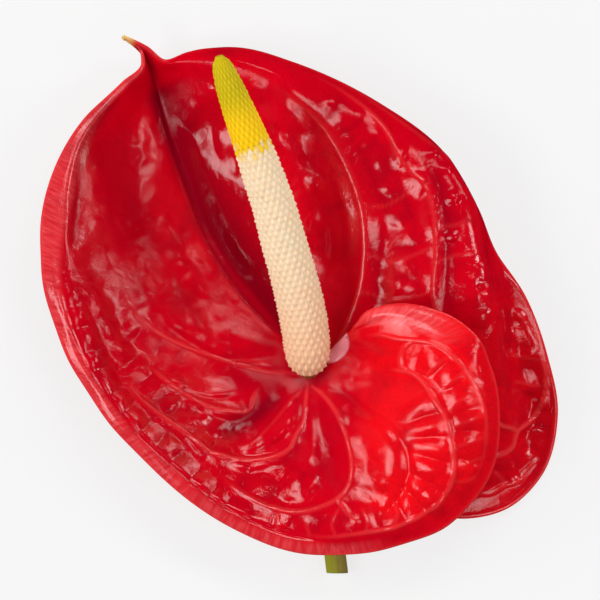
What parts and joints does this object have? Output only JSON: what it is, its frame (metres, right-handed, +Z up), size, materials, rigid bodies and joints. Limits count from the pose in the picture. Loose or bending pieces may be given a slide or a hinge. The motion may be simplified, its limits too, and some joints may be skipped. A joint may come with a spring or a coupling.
{
  "type": "cut anthurium",
  "caption": "Cut anthurium laid on its back: a glossy red heart-shaped spathe with lapping lobes, a floret-covered spadix with a ripe tip, and a short stem.",
  "frame": {"origin": "on the surface the flower lies on, under the centre of its bounding box", "axes": "+Z up from the surface, +Y from the stem's cut end towards the spathe's tip, +X towards the side of the lapping lobes"},
  "size_m": [0.13, 0.1356, 0.0462],
  "materials": {
    "spathe_red": "waxy high-gloss leaf skin, red, paler on its back",
    "spadix_cream": "satin cream florets, peach towards the base",
    "spadix_yellow_green": "satin yellow to yellow-green florets",
    "stem_olive": "smooth olive skin with a pale cut face"
  },
  "bodies": {
    "root": {"spathe": "spathe_red", "spadix": "spadix_cream", "spadix_tip": "spadix_yellow_green", "stem": "stem_olive"}
  },
  "joints": []
}
